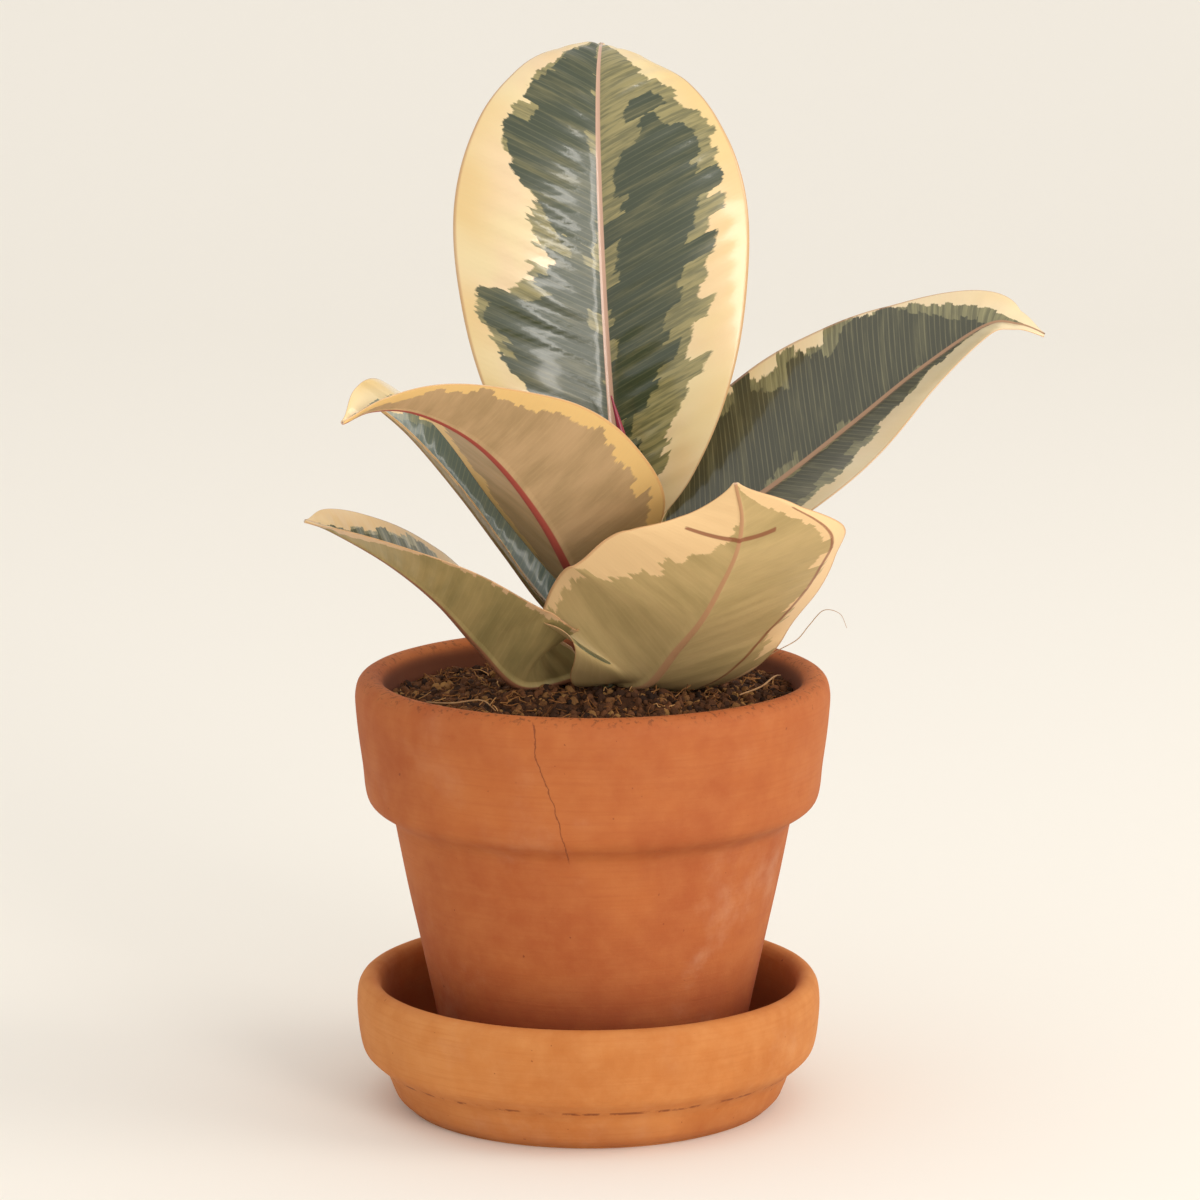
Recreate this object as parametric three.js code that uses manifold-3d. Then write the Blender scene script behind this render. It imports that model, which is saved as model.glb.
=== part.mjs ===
// A young variegated rubber plant (Ficus elastica) in a plain terracotta pot that stands on its saucer.
// Units are millimetres, +Z is up, and the origin is the centre of the saucer's flat underside.
import * as THREE from "three";
import { ParametricGeometry } from "three/addons/geometries/ParametricGeometry.js";
import { mergeVertices } from "three/addons/utils/BufferGeometryUtils.js";
import Module from "manifold-3d";

const wasm = await Module();
wasm.setup();

// Driving dimensions
const gap = 0.3;
const roundSegments = 48;

const saucerRadius = 64;
const saucerHeight = 35.5;
const saucerFloor = 6.5;

const potOffset = 1.2;
const potFoot = saucerFloor + gap;
const potFootRadius = 39.5;
const potRimRadius = 65;
const potRimHeight = 120;
const potInnerFloor = 14;
const potInnerRadius = 56.5;
const drainHoleRadius = 9;

const soilHeight = 112.6;
const soilMound = 2.8;
const soilMoundRadius = 25;

const bladeThickness = 0.9;
const petioleRadius = 1.7;
const bladeStations = 18;
const bladeSteps = 5;

const stemBottom = 88;
const stemTop = 164;
const stemRadius = 4.4;
const stemTipRadius = 2.6;

const plant = new THREE.Group();
plant.position.set(potOffset, 0, 0);
const part = new THREE.Group();
part.add(plant);

function vectors(points) {
  return points.map(([x, y, z]) => new THREE.Vector3(x, y, z));
}

// Smooth value at t from evenly spread stops.
function along(stops, t) {
  const path = new THREE.SplineCurve(stops.map((value) => new THREE.Vector2(value, 0)));
  return path.getPoint(t).x;
}

// A geometry with shared corners and without the collapsed faces at its ends.
function closedGeometry(geometry) {
  const bare = new THREE.BufferGeometry();
  bare.setAttribute("position", geometry.getAttribute("position"));
  bare.setIndex(geometry.getIndex());
  const merged = mergeVertices(bare, 1e-3);
  const corners = merged.getIndex().array;
  const kept = [];
  for (let i = 0; i < corners.length; i += 3) {
    const [a, b, c] = [corners[i], corners[i + 1], corners[i + 2]];
    if (a !== b && b !== c && c !== a) kept.push(a, b, c);
  }
  merged.setIndex(kept);
  return merged;
}

function toSolid(geometry) {
  const closed = closedGeometry(geometry);
  const vertProperties = new Float32Array(closed.getAttribute("position").array);
  const triVerts = new Uint32Array(closed.getIndex().array);
  return new wasm.Manifold(new wasm.Mesh({ numProp: 3, vertProperties, triVerts }));
}

function toGeometry(solid) {
  const mesh = solid.getMesh();
  const geometry = new THREE.BufferGeometry();
  geometry.setAttribute("position", new THREE.BufferAttribute(mesh.vertProperties, 3));
  geometry.setIndex(new THREE.BufferAttribute(mesh.triVerts, 1));
  return geometry;
}

function cut(geometry, tools) {
  return toGeometry(tools.reduce((solid, tool) => solid.subtract(toSolid(tool)), toSolid(geometry)));
}

function addMesh(parent, name, geometry, color, roughness) {
  const material = new THREE.MeshStandardMaterial({ color, roughness, metalness: 0 });
  const mesh = new THREE.Mesh(closedGeometry(geometry), material);
  mesh.geometry.computeVertexNormals();
  mesh.name = name;
  parent.add(mesh);
  return mesh;
}

// A solid of revolution about Z from [radius, height] pairs.
function revolved(profile) {
  const points = profile.map(([radius, height]) => new THREE.Vector2(radius, height));
  const geometry = new THREE.LatheGeometry(points, roundSegments);
  geometry.rotateX(Math.PI / 2);
  return geometry;
}

// A skin through rings of points that closes to a point at each end.
function skinned(rings) {
  const middle = (ring) => ring.reduce((sum, p) => sum.add(p), new THREE.Vector3()).divideScalar(ring.length);
  const ends = [middle(rings[0]), middle(rings[rings.length - 1])];
  const rows = [
    rings[0].map(() => ends[0]),
    ...rings,
    rings[0].map(() => ends[1]),
  ];
  const around = rings[0].length;
  const place = (u, v, target) => {
    const row = rows[Math.round(v * (rows.length - 1))];
    target.copy(row[Math.round(u * around) % around]);
  };
  return new ParametricGeometry(place, around, rows.length - 1);
}

// A round rod along a curve, with a radius that may change from end to end.
function rod(points, radiusAt, sides, steps) {
  const curve = new THREE.CatmullRomCurve3(vectors(points));
  const frames = curve.computeFrenetFrames(steps, false);
  const rings = [];
  for (let i = 0; i <= steps; i += 1) {
    const centre = curve.getPointAt(i / steps);
    const radius = radiusAt(i / steps);
    const ring = [];
    for (let k = 0; k < sides; k += 1) {
      const angle = (2 * Math.PI * k) / sides;
      const across = frames.normals[i].clone().multiplyScalar(Math.cos(angle) * radius);
      const over = frames.binormals[i].clone().multiplyScalar(Math.sin(angle) * radius);
      ring.push(centre.clone().add(across).add(over));
    }
    rings.push(ring);
  }
  return skinned(rings);
}

// A thin fibre of constant thickness.
function fibre(points, radius, steps) {
  const section = new THREE.Shape();
  section.absarc(0, 0, radius, 0, 2 * Math.PI, false);
  const extrudePath = new THREE.CatmullRomCurve3(vectors(points));
  return new THREE.ExtrudeGeometry(section, { steps, curveSegments: 6, extrudePath, bevelEnabled: false });
}

// Saucer: a flat disc with a stepped wall and a rolled lip.
const saucerProfile = [
  [0, 0],
  [50, 0],
  [53.2, 2.5],
  [55.4, 7.5],
  [56.2, 9.5],
  [61.8, 14.6],
  [63.2, 18.5],
  [saucerRadius, 28],
  [63.6, 32],
  [62.2, 34.8],
  [60.3, saucerHeight],
  [58.4, 34.8],
  [57.3, 32],
  [56, 20],
  [54, 9.5],
  [50, saucerFloor],
  [0, saucerFloor],
];
addMesh(part, "saucer", revolved(saucerProfile), 0xd58546, 0.85);

// Pot: a tapered wall, a tall collar and a drainage hole in the floor.
const potProfile = [
  [drainHoleRadius, potFoot],
  [potFootRadius - 1.5, potFoot],
  [potFootRadius, potFoot + 1.2],
  [47.8, 47.2],
  [54.2, 78.3],
  [55.8, 81.2],
  [59.8, 83.8],
  [61.9, 86.8],
  [63.1, 95.3],
  [64.4, 106.6],
  [potRimRadius, 113.5],
  [64.2, 118],
  [62.8, 119.6],
  [60.5, potRimHeight],
  [58.2, 119.2],
  [56.9, 117],
  [potInnerRadius, 114.5],
  [34.8, 19],
  [31.5, potInnerFloor],
  [drainHoleRadius, potInnerFloor],
  [drainHoleRadius, potFoot],
];
addMesh(plant, "pot", revolved(potProfile), 0xbb6838, 0.8);

// Potting soil: it fills the pot to just under the crest and is mounded round the stem.
function soilSurface(x, y) {
  const mound = soilMound * Math.exp(-(x * x + y * y) / (soilMoundRadius * soilMoundRadius));
  const bank = 1.6 * Math.exp(-((x - 42) ** 2 + (y - 22) ** 2) / 300);
  const lumps = 0.5 * Math.sin(0.21 * x + 1.1) * Math.cos(0.26 * y - 0.4) + 0.3 * Math.sin(0.47 * x - 0.33 * y);
  return soilHeight + mound + bank + lumps;
}

const soilTopRadius = potInnerRadius - gap - 1.1;
const soilProfile = [
  [0, potInnerFloor + gap],
  [31, potInnerFloor + gap],
  [34.2, 19.4],
  [soilTopRadius, 111],
  ...[54, 48, 41, 34, 27, 20, 13, 6, 0].map((radius) => [radius, soilHeight]),
];
const soilGeometry = revolved(soilProfile);
const soilCorners = soilGeometry.getAttribute("position");
for (let i = 0; i < soilCorners.count; i += 1) {
  const [x, y, z] = [soilCorners.getX(i), soilCorners.getY(i), soilCorners.getZ(i)];
  if (z > soilHeight - 0.1) soilCorners.setZ(i, soilSurface(x, y));
}

// Stem: it tapers from the soil to the youngest leaf. With some extra radius and length it is the
// tool that clears the soil and the leaf bases away from it.
function stemRod(extra) {
  const path = [
    [2.5, 1, stemBottom - extra], [4, 1.5, 115], [6, 2.4, 133], [8.4, 3, 148],
    [10.4, 2.6, stemTop + extra],
  ];
  const taper = (t) => stemRadius + (stemTipRadius - stemRadius) * t * t + extra;
  return rod(path, taper, 12, 16);
}
addMesh(plant, "potting_soil", cut(soilGeometry, [stemRod(gap)]), 0x3c2512, 0.95);

// The same soil raised by the gap is the tool that keeps the lowest leaves clear of it.
const soilTool = soilGeometry.clone().translate(0, 0, gap);
addMesh(plant, "stem", stemRod(0), 0x6f6a3a, 0.6);

// Bud: the rolled red sheath of the next leaf.
const budPath = [[10.4, 2.6, stemTop - 1], [9.8, 2, 174], [7.8, 0.8, 186], [5, 0, 196.5]];
const budSheath = rod(budPath, (t) => 2.2 * (1 - t) ** 0.8 + 0.25, 10, 10);
addMesh(plant, "bud_sheath", cut(budSheath, [stemRod(gap)]), 0x9c3a48, 0.45);

// Leaves: the rib runs from inside the stem to the tip, and face is the way that the upper side points.
// Each half has a width, a lift of the blade out of the flat in degrees (fold) and a bend across it (curl).
const leaves = [
  {
    name: "leaf_upright",
    color: 0x5d6a3d,
    rib: [
      [8, 4, 142], [7.4, 8.6, 153], [6, 9.6, 178], [4, 11, 206], [2.5, 14, 234],
      [1.5, 20, 262], [1.5, 28, 280], [2, 36, 287], [2.5, 44, 288],
    ],
    face: [[0, -1, 0.1], [0, -1, 0.15], [0, -1, 0.3]],
    left: {
      width: 41, fold: [25, 18, 8], curl: [-10, -25, -25],
      shape: [0.05, 0.06, 0.52, 0.82, 0.96, 0.98, 0.8, 0.52, 0.24, 0.02],
    },
    right: {
      width: 41, fold: [25, 18, 8], curl: [-10, -25, -25],
      shape: [0.05, 0.06, 0.52, 0.82, 0.96, 0.98, 0.8, 0.52, 0.24, 0.02],
    },
  },
  {
    name: "leaf_right",
    color: 0x56543f,
    rib: [
      [9, 2.9, 143], [15, 3, 148], [29, 2, 158], [48, 2, 170.5], [70, 2, 188],
      [88, 1, 203], [106, 0, 215.5], [115, -1, 216], [122, -2, 213.5],
    ],
    face: [[-0.4, -0.6, 0.7], [-0.37, -0.56, 0.7], [-0.2, -0.45, 0.9]],
    left: {
      width: 33, fold: [25, 22, 25], curl: [0, -6, -10],
      shape: [0.05, 0.06, 0.35, 0.87, 0.99, 0.86, 0.6, 0.31, 0.12, 0.02],
    },
    right: {
      width: 28, fold: [25, 20, 25], curl: [0, 0, 0],
      shape: [0.05, 0.06, 0.42, 0.87, 0.99, 0.86, 0.6, 0.31, 0.12, 0.02],
    },
  },
  {
    name: "leaf_leaning",
    color: 0xc5a072,
    rib: [
      [5.4, 1.8, 130], [-0.5, -5, 138], [-7, -14, 153], [-14, -27, 168], [-24, -42, 184],
      [-34, -56, 195], [-46, -72, 203], [-56, -84, 205], [-63, -92, 203],
    ],
    face: [[0.5, 0.6, 0.6], [0.4, 0.5, 0.8], [0.2, 0.1, 1]],
    left: {
      width: 34, fold: [30, 28, 30], curl: [10, 10, 10],
      shape: [0.05, 0.07, 0.62, 0.96, 0.99, 0.86, 0.63, 0.4, 0.2, 0.02],
    },
    right: {
      width: 28, fold: [20, 18, 20, 55], curl: [0, 0, 0],
      shape: [0.05, 0.07, 0.62, 0.96, 0.99, 0.86, 0.66, 0.46, 0.24, 0.02],
    },
  },
  {
    name: "leaf_behind",
    color: 0x786f51,
    rib: [
      [4.8, 2, 123], [-3, 5, 130], [-13, 6, 138], [-24, 8, 152],
      [-36, 8, 168], [-49, 6, 184], [-59, 4, 193.5],
    ],
    face: [[0.4, -0.2, 0.9], [0.5, -0.3, 0.8], [0.5, -0.3, 0.8]],
    left: {
      width: 14, fold: [30, 30, 30], curl: [0, 0, 0],
      shape: [0.05, 0.06, 0.32, 0.74, 0.95, 1, 0.92, 0.73, 0.36, 0.02],
    },
    right: {
      width: 22, fold: [30, 30, 30], curl: [0, 0, 0],
      shape: [0.05, 0.06, 0.32, 0.74, 0.95, 1, 0.92, 0.73, 0.36, 0.02],
    },
  },
  {
    name: "leaf_low",
    color: 0x937c4a,
    rib: [
      [3.6, 2.2, 120.6], [-6, 0, 118.4], [-20, -4, 117.2], [-31, -7, 128.8],
      [-42, -11, 142], [-55, -16, 153.5], [-70, -20, 163], [-77, -22, 166],
    ],
    face: [[0.3, 0.1, 1], [0.3, 0, 1], [0.2, 0, 1]],
    left: {
      width: 30, fold: [62, 56, 38, 22, 5], curl: [0, 0, 0],
      shape: [0.05, 0.26, 0.78, 1, 1, 0.9, 0.76, 0.55, 0.28, 0.02],
    },
    right: {
      width: 28, fold: [30, 24, 24, 24, 28], curl: [0, 0, 0],
      shape: [0.06, 0.3, 0.85, 1, 1, 0.9, 0.76, 0.55, 0.28, 0.02],
    },
  },
  {
    name: "leaf_front",
    color: 0xc7a46c,
    rib: [
      [5.2, 0.8, 120], [9, -6, 118.6], [15.5, -12, 120.2], [22.5, -20, 130.5], [29, -27, 140],
      [34, -34, 150.5], [38, -41, 161], [39.2, -46.5, 171], [37.4, -52, 181],
    ],
    face: [[-0.3, 0.3, 0.9], [-0.2, 0.6, 0.8], [-0.1, 0.8, 0.6]],
    left: {
      width: 41, fold: [-12, -4, 10, 8, 5], curl: [0, 0, 0],
      shape: [0.06, 0.34, 0.7, 0.92, 0.98, 0.98, 0.92, 0.8, 0.34, 0.02],
      crease: { angle: [10, 28, 32, 45, 10], at: [0.62, 0.65, 0.75, 0.8, 1] },
    },
    right: {
      width: 40, fold: [-20, 10, 28, 20, 14, 10, 10], curl: [20, 10, 0],
      shape: [0.05, 0.38, 0.82, 0.93, 0.97, 0.92, 0.84, 0.68, 0.36, 0.02],
    },
  },
];

// The middle surface of a blade at one station, from the left margin to the right one.
function bladeRow(leaf, rib, face, t) {
  const centre = rib.getPoint(t);
  const tangent = rib.getTangent(t);
  const normal = face.getPoint(t);
  normal.addScaledVector(tangent, -normal.dot(tangent)).normalize();
  const across = new THREE.Vector3().crossVectors(tangent, normal);
  const half = (shape, sign) => {
    const step = (shape.width * Math.max(along(shape.shape, t), 0)) / bladeSteps;
    const points = [];
    const place = centre.clone();
    for (let k = 0; k < bladeSteps; k += 1) {
      const out = (k + 0.5) / bladeSteps;
      const creased = shape.crease && out > along(shape.crease.at, t);
      const crease = creased ? along(shape.crease.angle, t) : 0;
      const lift = THREE.MathUtils.degToRad(along(shape.fold, t) + along(shape.curl, t) * out + crease);
      place.addScaledVector(across, sign * Math.cos(lift) * step);
      place.addScaledVector(normal, Math.sin(lift) * step);
      points.push({ place: place.clone(), lift: sign * lift, away: step * (k + 1) });
    }
    return points;
  };
  const middle = { place: centre, lift: 0, away: 0 };
  const row = [...half(leaf.left, -1).reverse(), middle, ...half(leaf.right, 1)];
  return row.map(({ place, lift, away }) => {
    const up = normal.clone().multiplyScalar(Math.cos(lift)).addScaledVector(across, -Math.sin(lift));
    return { place, up, away };
  });
}

// A blade with its petiole: the rib stands out under the blade and swells into the petiole at the base.
function leafGeometry(leaf) {
  const rib = new THREE.CatmullRomCurve3(vectors(leaf.rib), false, "catmullrom", 0.5);
  const face = new THREE.CatmullRomCurve3(vectors(leaf.face), false, "catmullrom", 0.5);
  const rings = [];
  for (let i = 0; i <= bladeStations; i += 1) {
    const t = i / bladeStations;
    const row = bladeRow(leaf, rib, face, t);
    const ribDepth = petioleRadius * (1 - t) ** 1.5 + 0.2;
    const upper = row.map(({ place, up, away }) => {
      const petiole = petioleRadius * Math.max(0, 1 - t * 6) * Math.exp(-away);
      return place.clone().addScaledVector(up, bladeThickness / 2 + petiole);
    });
    const lower = row.map(({ place, up, away }) => {
      const under = ribDepth * Math.exp(-((away / 1.6) ** 2));
      return place.clone().addScaledVector(up, -bladeThickness / 2 - under);
    });
    rings.push([...upper, ...lower.reverse()]);
  }
  return skinned(rings);
}

for (const leaf of leaves) {
  const geometry = cut(leafGeometry(leaf), [stemRod(gap), soilTool]);
  addMesh(plant, leaf.name, geometry, leaf.color, 0.4);
}

// Loose coir fibres that lie on the soil, and one fine root hair that arches over the rim.
const fibrePaths = {
  coir_fibre_left: [[-45, -14, 114.6], [-38, -20, 115.4], [-30, -22, 116.4], [-26, -27, 114.8]],
  coir_fibre_front: [[-14, -36, 114.4], [-6, -40, 115], [4, -39, 114.6], [12, -43, 114.4]],
  coir_fibre_right: [[40, -8, 115], [46, -2, 115.8], [50, 8, 116.6], [52, 14, 116]],
};
for (const [name, path] of Object.entries(fibrePaths)) {
  addMesh(plant, name, fibre(path, 0.35, 10), 0xa9703c, 0.9);
}
const hairPath = [
  [45, 24, 117], [51, 27, 120.4], [57, 29, 123.4], [60.5, 30, 127.4],
  [64.5, 30, 131.6], [69, 30, 130.6], [71, 30, 126.5],
];
addMesh(plant, "root_hair", fibre(hairPath, 0.3, 14), 0xc9a074, 0.8);

export default part;
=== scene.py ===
import math

import bpy
import numpy as np
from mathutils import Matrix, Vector, noise


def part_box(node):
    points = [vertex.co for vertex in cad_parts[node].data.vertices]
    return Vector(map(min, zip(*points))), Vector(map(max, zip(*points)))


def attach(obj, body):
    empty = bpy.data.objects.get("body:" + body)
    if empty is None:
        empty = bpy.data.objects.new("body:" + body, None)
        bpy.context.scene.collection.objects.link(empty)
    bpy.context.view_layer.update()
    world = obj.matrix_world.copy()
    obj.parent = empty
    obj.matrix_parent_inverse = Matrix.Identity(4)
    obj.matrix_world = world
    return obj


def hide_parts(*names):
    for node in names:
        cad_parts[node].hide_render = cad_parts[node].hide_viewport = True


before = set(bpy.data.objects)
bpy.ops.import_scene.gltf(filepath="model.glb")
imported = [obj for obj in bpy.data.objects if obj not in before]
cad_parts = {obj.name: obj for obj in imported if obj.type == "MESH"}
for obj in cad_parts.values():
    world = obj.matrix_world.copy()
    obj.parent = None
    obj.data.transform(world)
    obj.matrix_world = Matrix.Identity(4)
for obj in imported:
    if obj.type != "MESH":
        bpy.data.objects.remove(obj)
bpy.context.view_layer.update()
mm = 0.001
scene = bpy.context.scene


# sRGB hex code to the linear colour that the shaders take
def linearColour(code):
    parts = [int(code[i : i + 2], 16) / 255 for i in (1, 3, 5)]
    return tuple(p / 12.92 if p <= 0.04045 else ((p + 0.055) / 1.055) ** 2.4 for p in parts) + (1.0,)


# adds a node: an input given as a socket is linked, any other value is set on it
def addNode(tree, kind, settings=None, inputs=None):
    node = tree.nodes.new(kind)
    for key, value in (settings or {}).items():
        setattr(node, key, value)
    for key, value in (inputs or {}).items():
        if isinstance(value, bpy.types.NodeSocket):
            tree.links.new(value, node.inputs[key])
        else:
            node.inputs[key].default_value = value
    return node


# node makers for one tree: arithmetic, a smooth step between two values, and a mix of two colours or hex codes
def nodeMakers(tree):
    def maths(operation, a, b=0.0):
        return addNode(tree, "ShaderNodeMath", {"operation": operation}, {0: a, 1: b}).outputs[0]

    def band(value, low, high, into=(0.0, 1.0)):
        return addNode(tree, "ShaderNodeMapRange", {"interpolation_type": "SMOOTHSTEP"}, {
            "Value": value, "From Min": low, "From Max": high, "To Min": into[0], "To Max": into[1],
        }).outputs[0]

    def blend(amount, a, b):
        a, b = (linearColour(c) if isinstance(c, str) else c for c in (a, b))
        return addNode(tree, "ShaderNodeMix", {"data_type": "RGBA"}, {0: amount, 6: a, 7: b}).outputs[2]

    return maths, band, blend


def newMaterial(name, shader):
    material = bpy.data.materials.new(name)
    material.use_nodes = True
    tree = material.node_tree
    tree.nodes.clear()
    surface = addNode(tree, "ShaderNodeBsdfPrincipled", None, shader)
    addNode(tree, "ShaderNodeOutputMaterial", None, {"Surface": surface.outputs[0]})
    return material, tree, surface


# paints a surface with two tones that follow a noise of the given grain size in mm
def mottle(tree, surface, size, detail, tones, stops=(0.0, 1.0), rough=0.5, stretch=(1, 1, 1)):
    place = addNode(tree, "ShaderNodeTexCoord").outputs["Object"]
    stretched = addNode(tree, "ShaderNodeMapping", None, {"Vector": place, "Scale": stretch})
    grain = addNode(tree, "ShaderNodeTexNoise", None, {
        "Vector": stretched.outputs[0], "Scale": 1 / (size * mm), "Detail": detail, "Roughness": rough,
    }).outputs["Fac"]
    tone = addNode(tree, "ShaderNodeValToRGB", None, {"Fac": grain})
    for element, colour, stop in zip(tone.color_ramp.elements, tones, stops):
        element.color, element.position = linearColour(colour), stop
    tree.links.new(tone.outputs[0], surface.inputs["Base Color"])
    return grain


# an empty shape tree with one geometry in, its named inputs, and one geometry out
def newShapeTree(name, given, inputs, result):
    tree = bpy.data.node_groups.new(name, "GeometryNodeTree")
    face = tree.interface
    face.new_socket(given, in_out="INPUT", socket_type="NodeSocketGeometry")
    for label, kind in inputs.items():
        face.new_socket(label, in_out="INPUT", socket_type="NodeSocket" + kind)
    face.new_socket(result, in_out="OUTPUT", socket_type="NodeSocketGeometry")
    return tree, addNode(tree, "NodeGroupInput").outputs


def meshObject(name, vertices, faces, materials, faceMaterial=None):
    mesh = bpy.data.meshes.new(name)
    mesh.from_pydata([tuple(v) for v in vertices], [], faces)
    for material in materials:
        mesh.materials.append(material)
    if faceMaterial is not None:
        mesh.polygons.foreach_set("material_index", np.asarray(faceMaterial, dtype=np.int32))
    mesh.polygons.foreach_set("use_smooth", np.ones(len(mesh.polygons), dtype=bool))
    mesh.update()
    made = bpy.data.objects.new(name, mesh)
    scene.collection.objects.link(made)
    return made


def addAttribute(made, name, values):
    values = np.asarray(values, dtype=np.float32)
    kind = "FLOAT" if values.ndim == 1 else "FLOAT_VECTOR"
    layer = made.data.attributes.new(name, kind, "POINT")
    layer.data.foreach_set("value" if kind == "FLOAT" else "vector", values.ravel())


def joinFrame(made, nodes):
    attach(made, "root")
    if nodes:
        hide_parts(*nodes)


# the camera and the light of a bright room
view = {
    "place": (3.2 * mm, -1326 * mm, 390 * mm),
    "pitch": 10.67,
    "lens": 148.3,
}
camera = bpy.data.objects.new("camera", bpy.data.cameras.new("camera"))
scene.collection.objects.link(camera)
camera.location = view["place"]
camera.rotation_euler = (math.radians(90 - view["pitch"]), 0, 0)
camera.data.lens = view["lens"]
camera.data.sensor_width = 36
camera.data.clip_start = 0.05
camera.data.clip_end = 50
scene.camera = camera
scene.view_settings.view_transform = "Standard"

light = {
    "sky": {"colour": "#fffdf9", "power": 0.91},
    "window": {"where": (0.78, -1.3, 0.52), "size": (0.46, 0.78), "power": 7.5, "colour": "#fffaf3"},
    "window panes": {"where": (0.78, -1.3, 0.52), "size": (0.9, 0.85), "power": 17, "colour": "#fffaf3"},
    "side": {"where": (1.7, -0.35, 1.15), "size": (0.9, 0.9), "power": 9.5, "colour": "#fff6ea"},
    "aim": (0, 0, 0.15),
}
world = bpy.data.worlds.new("room")
scene.world = world
world.use_nodes = True
backdrop = world.node_tree.nodes["Background"].inputs
backdrop["Color"].default_value = linearColour(light["sky"]["colour"])
backdrop["Strength"].default_value = light["sky"]["power"]


def areaLight(name, where, size, power, colour):
    lamp = bpy.data.lights.new(name, "AREA")
    lamp.shape = "RECTANGLE"
    lamp.size, lamp.size_y = size
    lamp.energy = power
    lamp.color = linearColour(colour)[:3]
    made = bpy.data.objects.new(name, lamp)
    scene.collection.objects.link(made)
    made.visible_camera = False
    made.location = where
    made.rotation_euler = (Vector(light["aim"]) - Vector(where)).to_track_quat("-Z", "Y").to_euler()
    return made


window = areaLight("window", **light["window"])
window.visible_glossy = False
# the wide panes show only as the highlight on waxy leaves
panes = areaLight("window panes", **light["window panes"])
panes.visible_diffuse = False
areaLight("side", **light["side"])

# floor: a pale sheet that curves up behind the plant
floorLook = {
    "colour": "#f5f1ea", "halfWidth": 6.0, "front": -4.0, "bend": 1.6, "back": 3.4, "top": 4.0, "bends": 12,
}
paper, tree, surface = newMaterial("matt painted board", {
    "Base Color": linearColour(floorLook["colour"]), "Roughness": 0.9, "Specular IOR Level": 0.2,
})
run = [(floorLook["front"], 0.0), (floorLook["bend"], 0.0)]
reach = floorLook["back"] - floorLook["bend"]
for k in range(1, floorLook["bends"] + 1):
    turn = k / floorLook["bends"] * math.pi / 2
    run.append((floorLook["bend"] + reach * math.sin(turn), reach * (1 - math.cos(turn))))
run.append((floorLook["back"], floorLook["top"]))
corners = [(x, y, z) for y, z in run for x in (-floorLook["halfWidth"], floorLook["halfWidth"])]
boards = [(2 * i, 2 * i + 1, 2 * i + 3, 2 * i + 2) for i in range(len(run) - 1)]
floor = meshObject("floor", corners, boards, [paper])
print("stage ready")


# turned clay: a profile swept round the axis, with the slight unevenness of fired clay
def turnedClayTree():
    tree, start = newShapeTree("turned clay", "Profile", {
        "Radius": "Float", "Step": "Float", "Segments": "Int", "Unevenness": "Float", "Uneven Scale": "Float",
        "Seed": "Float", "Finish": "Material",
    }, "Clay")
    line = addNode(tree, "GeometryNodeMeshToCurve", None, {"Mesh": start["Profile"]})
    soft = addNode(tree, "GeometryNodeCurveSplineType", {"spline_type": "CATMULL_ROM"}, {
        "Curve": line.outputs[0],
    })
    even = addNode(tree, "GeometryNodeResampleCurve", {"mode": "LENGTH"}, {
        "Curve": soft.outputs[0], "Length": start["Step"],
    })
    ring = addNode(tree, "GeometryNodeCurvePrimitiveCircle", None, {
        "Resolution": start["Segments"], "Radius": start["Radius"],
    })
    turned = addNode(tree, "GeometryNodeCurveToMesh", None, {
        "Curve": ring.outputs[0], "Profile Curve": even.outputs[0],
    })
    whole = addNode(tree, "GeometryNodeMergeByDistance", None, {
        "Geometry": turned.outputs[0], "Distance": 0.02 * mm,
    })
    where = addNode(tree, "GeometryNodeInputPosition")
    dents = addNode(tree, "ShaderNodeTexNoise", {"noise_dimensions": "4D"}, {
        "Vector": where.outputs[0], "W": start["Seed"], "Scale": start["Uneven Scale"], "Detail": 3.0,
    })
    centred = addNode(tree, "ShaderNodeVectorMath", {"operation": "SUBTRACT"}, {
        0: dents.outputs["Color"], 1: (0.5, 0.5, 0.5),
    })
    moved = addNode(tree, "ShaderNodeVectorMath", {"operation": "SCALE"}, {
        0: centred.outputs[0], "Scale": start["Unevenness"],
    })
    uneven = addNode(tree, "GeometryNodeSetPosition", None, {
        "Geometry": whole.outputs[0], "Offset": moved.outputs[0],
    })
    smooth = addNode(tree, "GeometryNodeSetShadeSmooth", None, {"Geometry": uneven.outputs[0]})
    real = addNode(tree, "GeometryNodeRealizeInstances", None, {"Geometry": smooth.outputs[0]})
    finish = addNode(tree, "GeometryNodeSetMaterial", None, {
        "Geometry": real.outputs[0], "Material": start["Finish"],
    })
    addNode(tree, "NodeGroupOutput", None, {"Clay": finish.outputs[0]})
    return tree


# runs a node tree on an object and keeps the result as its plain mesh
def bakeTree(made, tree, values):
    step = made.modifiers.new("shape", "NODES")
    step.node_group = tree
    for item in tree.interface.items_tree:
        if item.in_out == "INPUT" and item.name in values:
            step[item.identifier] = values[item.name]
    bpy.context.view_layer.update()
    made.data = bpy.data.meshes.new_from_object(made.evaluated_get(bpy.context.evaluated_depsgraph_get()))
    made.modifiers.remove(step)
    made.data.name = made.name


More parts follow.
